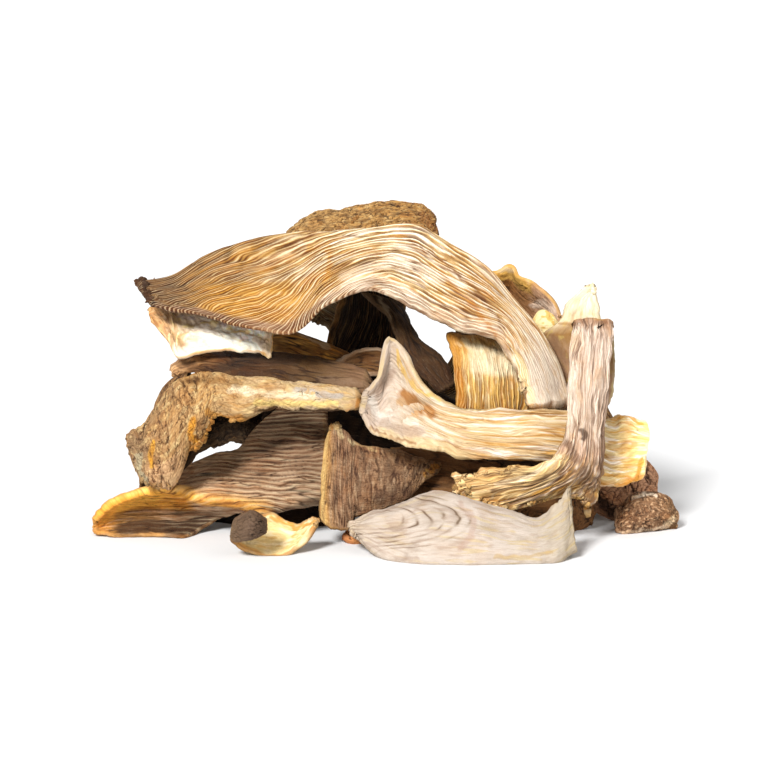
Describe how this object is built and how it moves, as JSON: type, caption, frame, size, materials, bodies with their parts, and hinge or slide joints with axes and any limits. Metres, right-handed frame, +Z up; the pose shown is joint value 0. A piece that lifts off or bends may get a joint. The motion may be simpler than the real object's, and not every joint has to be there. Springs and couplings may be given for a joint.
{
  "type": "dried oyster mushroom cluster",
  "caption": "Loose heap of dried oyster mushroom fans, caps, stems and slices, with curled blades, gills and wrinkled skins, lying on a flat surface.",
  "frame": {"origin": "middle of the heap's bounding box, on the surface that it lies on", "axes": "+Z up, +X along the heap's width to the right as seen from the front, -Y towards the front"},
  "size_m": [0.1466, 0.0974, 0.0789],
  "materials": {
    "fan_ochre": "matt, ribbed",
    "cap_tan": "matt, finely wrinkled",
    "cap_brown": "matt, wrinkled",
    "flesh_cream": "matt, faintly fibrous",
    "flesh_lemon": "matt, smooth",
    "stem_brown": "matt, streaked along its length"
  },
  "bodies": {
    "root": {"bridge_fan": "fan_ochre", "yellow_ribbed_cap": "fan_ochre", "back_long_fan": "fan_ochre", "crown_cap": "cap_tan", "crumpled_cap_left": "cap_tan", "back_cap_left": "cap_tan", "back_cap_right": "cap_tan", "back_fan": "cap_tan", "back_top_fan": "cap_tan", "ribbed_gutter_cap": "cap_brown", "square_cap": "cap_brown", "brown_mid": "cap_brown", "right_rear_brown": "cap_brown", "right_front_brown": "cap_brown", "under_cap": "cap_brown", "dark_pocket": "cap_brown", "arch_strap": "cap_brown", "dark_curl": "cap_brown", "olive_roll": "cap_brown", "right_curl": "cap_brown", "side_left_cap": "cap_brown", "inner_fan": "cap_brown", "inner_cap": "cap_brown", "white_slice": "flesh_cream", "cup_stem": "flesh_cream", "back_slice": "flesh_cream", "back_stem": "flesh_cream", "pale_fan_left": "flesh_cream", "lemon_cup": "flesh_lemon", "small_lemon": "flesh_lemon", "spike_cap": "flesh_lemon", "strap_fan": "stem_brown", "rolled_cap_left": "stem_brown", "stem_crumb": "stem_brown"}
  },
  "joints": []
}
